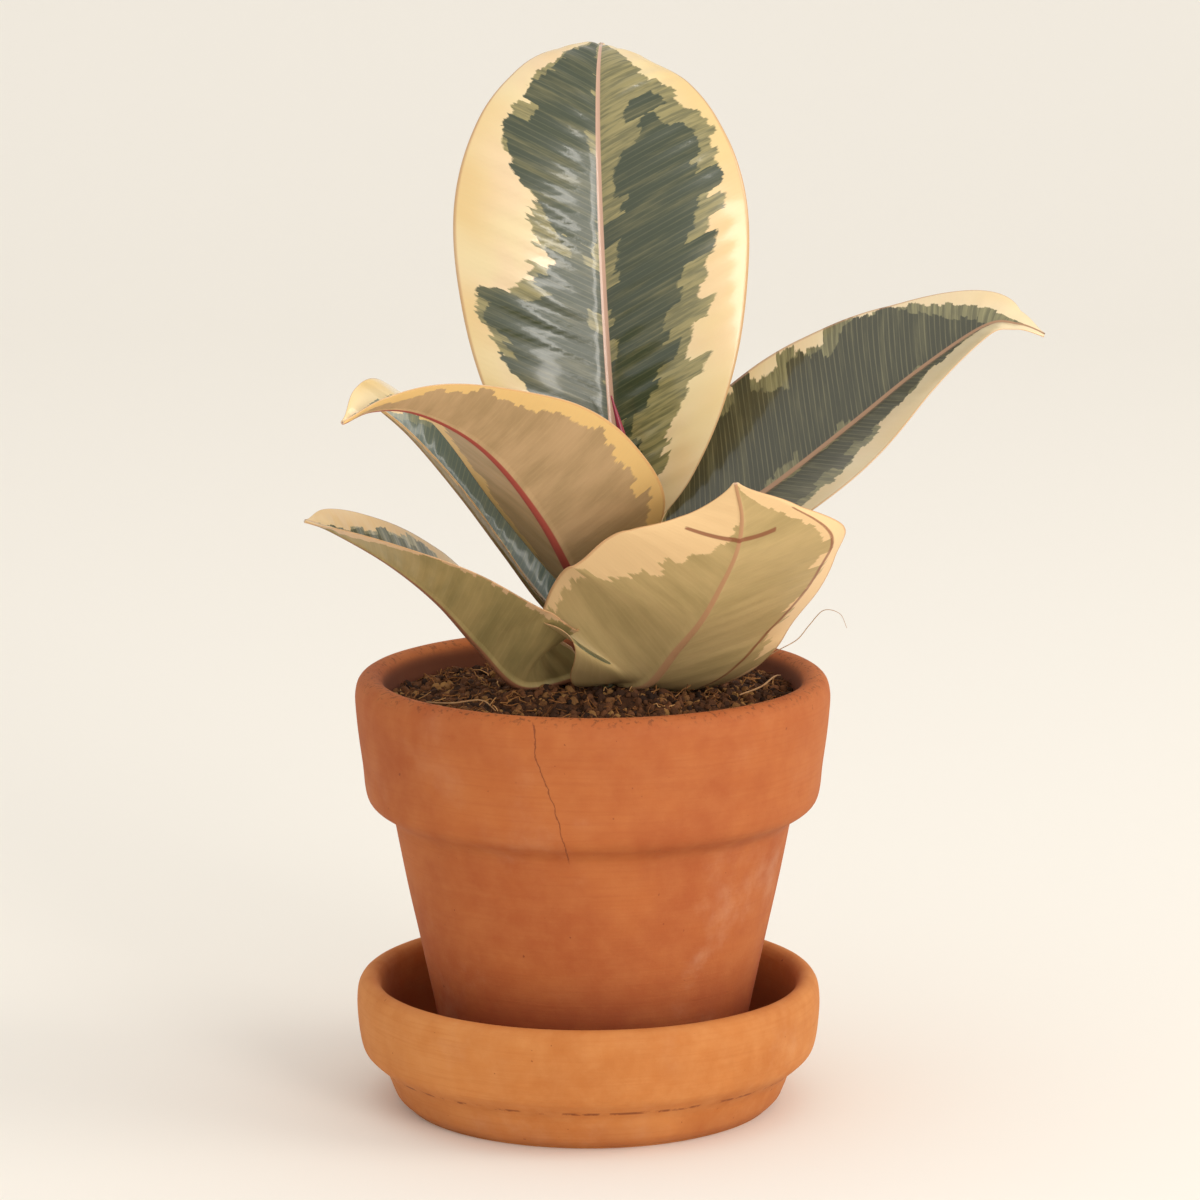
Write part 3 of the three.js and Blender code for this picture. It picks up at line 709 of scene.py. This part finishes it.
# rib runs from the stem to the tip, face is the way the upper side looks, and each half has its width in
# mm, its lift out of the flat (fold) and bend across (curl) in degrees, and its share of the width along
# the rib. dark, mid and core are how far the green, the grey-green and the bare strip reach from the rib,
# along each vein.
blade = {
    "stations": 150, "steps": 40, "half": 0.32, "edge": 0.12, "petiole": 1.6,
    "veinLean": 0.5, "ribGroove": 0.33, "ribGrooveWidth": 1.7,
    "waveSize": (14, 30), "bow": 0.9, "bowSize": (40, 26), "unmarked": 9.0,
}
leaves = [
    {
        "name": "leaf_upright", "seed": 1.0, "quilt": 0.5, "quiltSize": 6.2,
        "rib": [(8, 4, 142), (7.4, 8.6, 153), (6, 9.6, 178), (4, 11, 206), (2.5, 14, 234),
                (1.5, 20, 262), (1.5, 28, 280), (2, 36, 287), (2.5, 44, 288)],
        "face": [(0, -1, 0.1), (0, -1, 0.15), (0, -1, 0.3)],
        "left": {
            "width": 41, "fold": [25, 18, 8], "curl": [-10, -25, -25],
            "shape": [0.05, 0.06, 0.52, 0.82, 0.96, 0.98, 0.8, 0.52, 0.24, 0.02],
            "core": [0] * 11,
            "dark": [0.3, 0.4, 0.5, 0.64, 0.82, 0.38, 0.42, 0.64, 0.62, 0.55, 0.4],
            "mid": [0.33, 0.43, 0.53, 0.66, 0.85, 0.44, 0.5, 0.7, 0.66, 0.6, 0.5],
        },
        "right": {
            "width": 41, "fold": [25, 18, 8], "curl": [-10, -25, -25],
            "shape": [0.05, 0.06, 0.52, 0.82, 0.96, 0.98, 0.8, 0.52, 0.24, 0.02],
            "core": [0, 0, 0, 0, 0, 0, 0.04, 0.12, 0.32, 0.5, 0.6],
            "dark": [0.2, 0.25, 0.28, 0.36, 0.52, 0.66, 0.8, 0.76, 0.5, 0.2, 0.1],
            "mid": [0.4, 0.48, 0.6, 0.68, 0.72, 0.76, 0.84, 0.84, 0.66, 0.45, 0.25],
        },
        "upper": {"dark": "#333c22", "mid": "#958a58", "pale": "#e8d3a2", "blush": "#e8cba2",
                  "gold": "#dfba70", "rib": "#c9a088", "vein": 0.06},
        "under": {"green": "#a8926a", "deep": "#85764a", "pale": "#dcb97c", "rib": "#a85f4c"},
    },
    {
        "name": "leaf_right", "seed": 2.0, "quilt": 0.12, "quiltSize": 5.0,
        "rib": [(9, 2.9, 143), (15, 3, 148), (29, 2, 158), (48, 2, 170.5), (70, 2, 188), (88, 1, 203),
                (106, 0, 215.5), (115, -1, 216), (122, -2, 213.5)],
        "face": [(-0.4, -0.6, 0.7), (-0.37, -0.56, 0.7), (-0.2, -0.45, 0.9)],
        "left": {
            "width": 33, "fold": [25, 22, 25], "curl": [0, -6, -10],
            "shape": [0.05, 0.06, 0.35, 0.87, 0.99, 0.86, 0.6, 0.31, 0.12, 0.02],
            "core": [0] * 11,
            "dark": [0.9, 0.9, 0.94, 0.95, 0.78, 0.74, 0.92, 0.88, 0.4, 0.05, 0],
            "mid": [0.95, 0.95, 0.97, 0.97, 0.92, 0.93, 0.95, 0.94, 0.7, 0.3, 0],
        },
        "right": {
            "width": 28, "fold": [25, 20, 25], "curl": [0, 0, 0],
            "shape": [0.05, 0.06, 0.42, 0.87, 0.99, 0.86, 0.6, 0.31, 0.12, 0.02],
            "core": [0] * 11,
            "dark": [0.85, 0.85, 0.8, 0.72, 0.62, 0.5, 0.4, 0.3, 0.15, 0.1, 0],
            "mid": [0.9, 0.9, 0.85, 0.76, 0.68, 0.6, 0.5, 0.4, 0.2, 0.1, 0],
        },
        "upper": {"dark": "#3f3f2b", "mid": "#85805a", "pale": "#ead7b0", "blush": "#e8cfa6",
                  "gold": "#e2c48a", "rib": "#a8805e", "vein": 0.12},
        "under": {"green": "#a08a58", "deep": "#7c7148", "pale": "#e2cba0", "rib": "#a86a4c"},
    },
    {
        "name": "leaf_leaning", "seed": 3.0, "quilt": 0.12, "quiltSize": 5.5,
        "rib": [(5.4, 1.8, 130), (-0.5, -5, 138), (-7, -14, 153), (-14, -27, 168), (-24, -42, 184),
                (-34, -56, 195), (-46, -72, 203), (-56, -84, 205), (-63, -92, 203)],
        "face": [(0.5, 0.6, 0.6), (0.4, 0.5, 0.8), (0.2, 0.1, 1)],
        "left": {
            "width": 34, "fold": [30, 28, 30], "curl": [10, 10, 10],
            "shape": [0.05, 0.07, 0.62, 0.96, 0.99, 0.86, 0.63, 0.4, 0.2, 0.02],
            "core": [0] * 11,
            "dark": [0.7, 0.8, 0.75, 0.7, 0.78, 0.72, 0.66, 0.6, 0.6, 0.4, 0.1],
            "mid": [0.8, 0.85, 0.84, 0.86, 0.86, 0.84, 0.8, 0.88, 0.8, 0.5, 0.2],
        },
        "right": {
            "width": 28, "fold": [20, 18, 20, 55], "curl": [0, 0, 0],
            "shape": [0.05, 0.07, 0.62, 0.96, 0.99, 0.86, 0.66, 0.46, 0.24, 0.02],
            "core": [0] * 11,
            "dark": [0.7, 0.8, 0.75, 0.7, 0.7, 0.65, 0.6, 0.5, 0.3, 0.1, 0],
            "mid": [0.8, 0.85, 0.84, 0.8, 0.8, 0.75, 0.72, 0.66, 0.5, 0.3, 0.1],
        },
        "upper": {"dark": "#5a6048", "mid": "#8f8f70", "pale": "#ecd5a4", "blush": "#e9cd9e",
                  "gold": "#e3bd70", "rib": "#dcae90", "vein": 0.1},
        "under": {"green": "#c1a077", "deep": "#9a8058", "pale": "#e5be7c", "rib": "#a04a3f"},
    },
    {
        "name": "leaf_behind", "seed": 4.0, "quilt": 0.12, "quiltSize": 5.0,
        "rib": [(4.8, 2, 123), (-3, 5, 130), (-13, 6, 138), (-24, 8, 152), (-36, 8, 168), (-49, 6, 184),
                (-59, 4, 193.5)],
        "face": [(0.4, -0.2, 0.9), (0.5, -0.3, 0.8), (0.5, -0.3, 0.8)],
        "left": {
            "width": 14, "fold": [30, 30, 30], "curl": [0, 0, 0],
            "shape": [0.05, 0.06, 0.32, 0.74, 0.95, 1, 0.92, 0.73, 0.36, 0.02],
            "core": [0] * 11,
            "dark": [0.9, 0.9, 0.9, 0.85, 0.85, 0.85, 0.8, 0.8, 0.6, 0.4, 0.2],
            "mid": [0.94, 0.94, 0.94, 0.92, 0.92, 0.92, 0.9, 0.9, 0.8, 0.5, 0.3],
        },
        "right": {
            "width": 22, "fold": [30, 30, 30], "curl": [0, 0, 0],
            "shape": [0.05, 0.06, 0.32, 0.74, 0.95, 1, 0.92, 0.73, 0.36, 0.02],
            "core": [0] * 11,
            "dark": [0.9, 0.9, 0.9, 0.85, 0.8, 0.75, 0.7, 0.6, 0.5, 0.3, 0.2],
            "mid": [0.94, 0.94, 0.94, 0.92, 0.9, 0.88, 0.85, 0.8, 0.7, 0.5, 0.3],
        },
        "upper": {"dark": "#55655a", "mid": "#84876a", "pale": "#e4c98c", "blush": "#dcb878",
                  "gold": "#d8a850", "rib": "#b99a78", "vein": 0.12},
        "under": {"green": "#a58c60", "deep": "#7f6c42", "pale": "#d8b274", "rib": "#a4644a"},
    },
    {
        "name": "leaf_low", "seed": 5.0, "quilt": 0.2, "quiltSize": 5.0,
        "rib": [(3.6, 2.2, 120.6), (-6, 0, 118.4), (-20, -4, 117.2), (-31, -7, 128.8), (-42, -11, 142),
                (-55, -16, 153.5), (-70, -20, 163), (-77, -22, 166)],
        "face": [(0.3, 0.1, 1), (0.3, 0, 1), (0.2, 0, 1)],
        "left": {
            "width": 30, "fold": [62, 56, 38, 22, 5], "curl": [0, 0, 0],
            "shape": [0.05, 0.26, 0.78, 1, 1, 0.9, 0.76, 0.55, 0.28, 0.02],
            "core": [0] * 11,
            "dark": [0.9, 0.9, 0.9, 0.88, 0.86, 0.85, 0.8, 0.7, 0.5, 0.2, 0],
            "mid": [0.97, 0.97, 0.97, 0.96, 0.96, 0.95, 0.94, 0.9, 0.7, 0.4, 0.1],
        },
        "right": {
            "width": 28, "fold": [30, 24, 24, 24, 28], "curl": [0, 0, 0],
            "shape": [0.06, 0.3, 0.85, 1, 1, 0.9, 0.76, 0.55, 0.28, 0.02],
            "core": [0] * 11,
            "dark": [0.7, 0.7, 0.7, 0.7, 0.76, 0.8, 0.8, 0.75, 0.45, 0.1, 0],
            "mid": [0.9, 0.9, 0.9, 0.88, 0.86, 0.85, 0.85, 0.8, 0.5, 0.2, 0],
        },
        "upper": {"dark": "#454c32", "mid": "#a39c7a", "pale": "#e3c795", "blush": "#dfbd8c",
                  "gold": "#d9b06a", "rib": "#c9a486", "vein": 0.16},
        "under": {"green": "#b39c66", "deep": "#84794a", "pale": "#dcb78a", "rib": "#946246"},
    },
    {
        "name": "leaf_front", "seed": 6.0, "quilt": 0.1, "quiltSize": 6.0,
        "rib": [(5.2, 0.8, 120), (9, -6, 118.6), (15.5, -12, 120.2), (22.5, -20, 130.5), (29, -27, 140),
                (34, -34, 150.5), (38, -41, 161), (39.2, -46.5, 171), (37.4, -52, 181)],
        "face": [(-0.3, 0.3, 0.9), (-0.2, 0.6, 0.8), (-0.1, 0.8, 0.6)],
        "left": {
            "width": 41, "fold": [-12, -4, 10, 8, 5], "curl": [0, 0, 0],
            "shape": [0.06, 0.34, 0.7, 0.92, 0.98, 0.98, 0.92, 0.8, 0.34, 0.02],
            "crease": {"angle": [8, 12, 16, 36, 10], "at": [0.62, 0.65, 0.75, 0.8, 1]},
            "core": [0] * 11,
            "dark": [0.9, 0.85, 0.7, 0.6, 0.6, 0.62, 0.6, 0.5, 0.4, 0.3, 0.2],
            "mid": [0.95, 0.92, 0.82, 0.72, 0.72, 0.74, 0.76, 0.8, 0.66, 0.5, 0.3],
        },
        "right": {
            "width": 40, "fold": [-20, 10, 28, 20, 14, 10, 10], "curl": [20, 10, 0],
            "shape": [0.1, 0.45, 0.83, 0.93, 0.97, 0.92, 0.84, 0.68, 0.36, 0.02],
            "core": [0] * 11,
            "dark": [0.95, 0.95, 0.9, 0.8, 0.5, 0.4, 0.3, 0.2, 0.1, 0, 0],
            "mid": [0.97, 0.97, 0.96, 0.9, 0.68, 0.5, 0.42, 0.3, 0.15, 0.05, 0],
        },
        "upper": {"dark": "#55583c", "mid": "#8f8c62", "pale": "#ecd5a4", "blush": "#e9c89c",
                  "gold": "#e0b46a", "rib": "#dcae90", "vein": 0.1},
        "under": {"green": "#c2a773", "deep": "#a18c5a", "pale": "#e9c592", "rib": "#ba8d66"},
        "scar": {"at": 0.8, "from": -9, "to": 14},
    },
]


# middle surface of one half, from the rib outwards, with the upward direction at each point
def halfBlade(centre, across, normal, half, sign, t):
    steps = blade["steps"]
    step = (half["width"] * np.maximum(stopValues(half["shape"], t), 0) / steps)[:, None]
    fold, curl = stopValues(half["fold"], t), stopValues(half["curl"], t)
    place, places, ups, away = centre, [], [], []
    for k in range(steps):
        out = (k + 0.5) / steps
        lift = fold + curl * out
        if "crease" in half:
            at = stopValues(half["crease"]["at"], t)
            turn = np.clip((out - at) / 0.05 + 0.5, 0, 1)
            lift = lift + stopValues(half["crease"]["angle"], t) * turn
        lift = np.radians(lift)[:, None]
        place = place + (sign * np.cos(lift) * across + np.sin(lift) * normal) * step
        places.append(place)
        ups.append(np.cos(lift) * normal - sign * np.sin(lift) * across)
        away.append(step[:, 0] * (k + 1))
    return places, ups, away


def leafSurface(leaf):
    t = np.linspace(0, 1, blade["stations"] + 1)
    centre = pathPoints(leaf["rib"], t)
    little = 1e-3
    before, after = (pathPoints(leaf["rib"], np.clip(t + shift, 0, 1)) for shift in (-little, little))
    tangent = unit(after - before)
    face = pathPoints(leaf["face"], t)
    normal = unit(face - (face * tangent).sum(1, keepdims=True) * tangent)
    across = np.cross(tangent, normal)
    left = halfBlade(centre, across, normal, leaf["left"], -1, t)
    right = halfBlade(centre, across, normal, leaf["right"], 1, t)
    places = np.stack(left[0][::-1] + [centre] + right[0], 1)
    ups = np.stack(left[1][::-1] + [normal] + right[1], 1)
    apart = np.stack([-a for a in left[2][::-1]] + [np.zeros(len(t))] + right[2], 1)
    return t, places, unit(ups), apart


# smooth noise over a blade, stretched along its side veins
def bladeNoise(vein, apart, size, layer):
    return np.vectorize(lambda q, d: noise.noise(Vector((q / size[0], d / size[1], layer))))(vein, apart)


# 0 up to 1 over a distance
def rise(value, over):
    return np.clip(value / over, 0, 1)


def leafMesh(leaf, finishes):
    t, places, ups, apart = leafSurface(leaf)
    along = t[:, None]
    steps = blade["steps"]
    share = np.abs(np.arange(-steps, steps + 1)) / steps
    away = np.abs(apart)
    length = np.concatenate([[0], np.cumsum(np.linalg.norm(np.diff(places[:, steps], axis=0), axis=1))])
    vein = length[:, None] - blade["veinLean"] * away
    veinShare = np.clip(vein / length[-1], 0, 1)

    # the blade swells a little between its side veins, and the rib lies in a groove
    wave = bladeNoise(vein, apart, blade["waveSize"], leaf["seed"] * 7)
    phase = 2 * math.pi * vein / leaf["quiltSize"] + 2.5 * wave
    fade = rise(share - 0.04, 0.2) * rise(1 - share, 0.3) * rise(along - 0.08, 0.15)
    swell = leaf["quilt"] * (0.6 + wave) * np.cos(phase) * fade * (1.1 - 0.7 * share)
    bowed = bladeNoise(vein, apart, blade["bowSize"], leaf["seed"] * 3)
    swell = swell + blade["bow"] * bowed * share[None, :] ** 1.5 * rise(along, 0.2)
    places = places + ups * swell[..., None]
    half = blade["half"] + (blade["edge"] - blade["half"]) * share ** 6
    ribHalf = 0.45 + 1.25 * (1 - t) ** 1.3
    petiole = blade["petiole"] * np.clip(1 - t * 7, 0, 1)[:, None] * np.exp(-away)
    groove = blade["ribGroove"] * np.exp(-((away / blade["ribGrooveWidth"]) ** 2))
    groove = groove * rise(along, 0.15) * rise(1 - along, 0.2)
    roundRib = np.sqrt(np.clip(1 - (away / (1.3 * ribHalf[:, None])) ** 2, 0, 1))
    under = (0.25 + 1.45 * (1 - along) ** 1.5) * roundRib
    top = places + ups * (half[None, :] + petiole - groove)[..., None]
    bottom = places - ups * (half[None, :] + under)[..., None]

    rows, columns = top.shape[:2]
    count = rows * columns
    vertices = np.vstack([top.reshape(-1, 3), bottom.reshape(-1, 3)]) * mm
    vertices[:, 0] += potX * mm
    grid = np.arange(count).reshape(rows, columns)
    upper = np.stack([grid[:-1, :-1], grid[:-1, 1:], grid[1:, 1:], grid[1:, :-1]], -1).reshape(-1, 4)
    lower = upper[:, ::-1] + count
    loop = np.concatenate([grid[0, :], grid[1:, -1], grid[-1, -2::-1], grid[-2:0:-1, 0]])
    after = np.roll(loop, -1)
    rim = np.stack([after, loop, loop + count, after + count], -1)
    faces = np.vstack([upper, lower, rim])
    sides = np.concatenate([np.zeros(len(upper)), np.ones(len(lower)), np.zeros(len(rim))])
    made = meshObject(leaf["name"] + "_blade", vertices, [tuple(f) for f in faces.tolist()], finishes, sides)

    shares = np.broadcast_to(share, away.shape)
    isLeft = np.broadcast_to(np.arange(columns) < steps, away.shape)

    def bySide(key):
        halves = [
            stopValues(leaf[side][key], veinShare.ravel()).reshape(veinShare.shape)
            for side in ("left", "right")
        ]
        return np.where(isLeft, *halves)

    # the same values for the upper and the lower vertex at each place
    def twice(values):
        return np.concatenate([values.reshape(count, -1)] * 2)

    zone = [bySide(key) for key in ("core", "dark", "mid")]
    addAttribute(made, "veinMap", twice(np.stack([vein, apart, shares], -1)))
    addAttribute(made, "zoneMap", twice(np.stack(zone, -1)))
    addAttribute(made, "ribMap", twice(away / ribHalf[:, None])[:, 0])
    # how far each place is from the crease and from the scar, in mm
    crease = np.full(away.shape, blade["unmarked"])
    if "crease" in leaf["left"]:
        at = stopValues(leaf["left"]["crease"]["at"], t)[:, None]
        beyond = blade["unmarked"] * (rise(0.24 - along, 0.05) + rise(along - 0.88, 0.05))
        near = np.maximum(np.abs(shares - at) * leaf["left"]["width"], beyond)
        crease = np.where(isLeft, near, blade["unmarked"])
    scar = np.full(away.shape, blade["unmarked"])
    if "scar" in leaf:
        look = leaf["scar"]
        middle, reach = (look["from"] + look["to"]) / 2, (look["to"] - look["from"]) / 2
        bow = 0.018 * (apart - middle) ** 2
        scar = np.maximum(np.abs(length[:, None] - look["at"] * length[-1] - bow),
                          np.abs(apart - middle) - reach)
    addAttribute(made, "markMap", twice(np.stack([crease, scar, np.broadcast_to(along, away.shape)], -1)))
    return made


# A living fig leaf. The upper side is waxy with green that runs out along the veins into grey-green and cream;
# the underside is matt, tan where the upper side is green, with a raised red midrib.
def leafSkin(leaf, upperSide):
    look = leaf["upper" if upperSide else "under"]
    name = leaf["name"].replace("_", " ") + (" waxy upper side" if upperSide else " matt underside")
    shine = {"Coat Weight": 0.8, "Roughness": 0.36, "Specular IOR Level": 0.55}
    dull = {"Coat Weight": 0.0, "Roughness": 0.5, "Specular IOR Level": 0.3}
    sheen = shine if upperSide else dull
    material, tree, surface = newMaterial(name, {"Coat Roughness": 0.12, "IOR": 1.45, **sheen})
    maths, band, blend = nodeMakers(tree)

    def parts(attribute):
        read = addNode(tree, "ShaderNodeAttribute", {"attribute_name": attribute})
        return addNode(tree, "ShaderNodeSeparateXYZ", None, {0: read.outputs["Vector"]}).outputs

    def streaks(along, out, shift, detail=3.0, rough=0.6):
        spot = addNode(tree, "ShaderNodeCombineXYZ", None, {
            0: maths("DIVIDE", vein["X"], along), 1: maths("DIVIDE", vein["Y"], out),
            2: leaf["seed"] * 5 + shift,
        })
        return addNode(tree, "ShaderNodeTexNoise", None, {
            "Vector": spot.outputs[0], "Scale": 1.0, "Detail": detail, "Roughness": rough,
        }).outputs["Fac"]

    # a random step for each run of veins: the borders of the variegation follow the veins
    def steps(size, shift):
        run = maths("ADD", maths("DIVIDE", vein["X"], size), maths("MULTIPLY", streaks(2.5, 9, shift), 0.5))
        sided = maths("ADD", run, maths("MULTIPLY", maths("SIGN", vein["Y"]),
                                        37.0 + leaf["seed"] * 11 + shift))
        cells = addNode(tree, "ShaderNodeTexVoronoi", {"voronoi_dimensions": "1D"}, {
            "W": sided, "Scale": 1.0,
        })
        cut = addNode(tree, "ShaderNodeSeparateColor", None, {0: cells.outputs["Color"]})
        return maths("SUBTRACT", cut.outputs[0], 0.5)

    vein, zone, mark = parts("veinMap"), parts("zoneMap"), parts("markMap")
    ribPlace = addNode(tree, "ShaderNodeAttribute", {"attribute_name": "ribMap"}).outputs["Fac"]
    share = vein["Z"]
    lobes = maths("ADD", maths("MULTIPLY", steps(6.0, 1), 0.26), maths("MULTIPLY", steps(2.6, 3), 0.08))
    teeth = maths("MULTIPLY", maths("SUBTRACT", streaks(1.3, 3, 0), 0.5), 0.1)
    shift = maths("ADD", lobes, teeth)
    fine = maths("ADD", maths("MULTIPLY", steps(2.2, 7), 0.06), teeth)
    toMid = maths("ADD", maths("MULTIPLY", steps(5.2, 5), 0.16), fine)
    inMid = band(maths("SUBTRACT", maths("ADD", zone["Z"], toMid), share), -0.012, 0.012)
    soft = streaks(28, 22, 8, 2.0)
    if upperSide:
        inDark = band(maths("SUBTRACT", maths("ADD", zone["Y"], shift), share), -0.01, 0.01)
        past = band(maths("SUBTRACT", maths("ADD", share, shift), zone["X"]), -0.02, 0.0)
        inDark = maths("MULTIPLY", inDark, past)
        cream = blend(band(soft, 0.35, 0.65), look["pale"], look["blush"])
        golden = maths("MULTIPLY", band(streaks(45, 60, 9, 2.0), 0.62, 0.4),
                       band(share, 0.45, 0.95, (0.1, 0.6)))
        cream = blend(golden, cream, look["gold"])
        grey = blend(band(streaks(1.4, 14, 10), 0.4, 0.62, (0.0, 0.55)), look["mid"], look["dark"])
        colour = blend(inMid, cream, grey)
        deep = blend(band(streaks(3, 26, 12, 4.0), 0.45, 0.75, (0.0, 0.35)), look["dark"], look["mid"])
        colour = blend(inDark, colour, deep)
    else:
        cream = look["pale"]
        tan = blend(band(streaks(9, 26, 12, 4.0), 0.35, 0.68, (0.0, 0.55)), look["green"], look["deep"])
        tan = blend(band(streaks(1.2, 16, 13, 4.0), 0.4, 0.7, (0.0, 0.12)), tan, look["deep"])
        colour = blend(inMid, cream, tan)
    # side veins: fine pale lines about every 1.6 mm along the rib
    turn = maths("SINE", maths("MULTIPLY", vein["X"], 2 * math.pi / 1.6))
    lines = band(maths("ADD", turn, maths("MULTIPLY", streaks(3, 20, 14), 1.0)), 1.15, 1.55)
    colour = blend(maths("MULTIPLY", lines, look.get("vein", 0.1)), colour,
                   "#d9cf9c" if upperSide else "#d3b988")
    onRib = band(ribPlace, 1.0, 0.7)
    colour = blend(onRib, colour, look["rib"])
    edge = maths("MULTIPLY", band(share, 0.972, 0.99), 0.55)
    colour = blend(edge, colour, "#c48a5c")
    browned = maths("MAXIMUM", band(mark["X"], 1.0, 0.35), band(mark["Y"], 1.0, 0.5))
    colour = blend(maths("MULTIPLY", browned, 0.8), colour, "#83432a")
    relief = maths("ADD", maths("MULTIPLY", turn, 0.07), maths("MULTIPLY", streaks(0.9, 2.0, 18), 0.7))
    bumps = addNode(tree, "ShaderNodeBump", None, {"Height": relief, "Strength": 0.35, "Distance": 0.12 * mm})
    tree.links.new(bumps.outputs[0], surface.inputs["Normal"])
    tree.links.new(colour, surface.inputs["Base Color"])
    return material


for leaf in leaves:
    made = leafMesh(leaf, [leafSkin(leaf, True), leafSkin(leaf, False)])
    joinFrame(made, [leaf["name"]])
    print(leaf["name"], "ready", len(made.data.polygons))
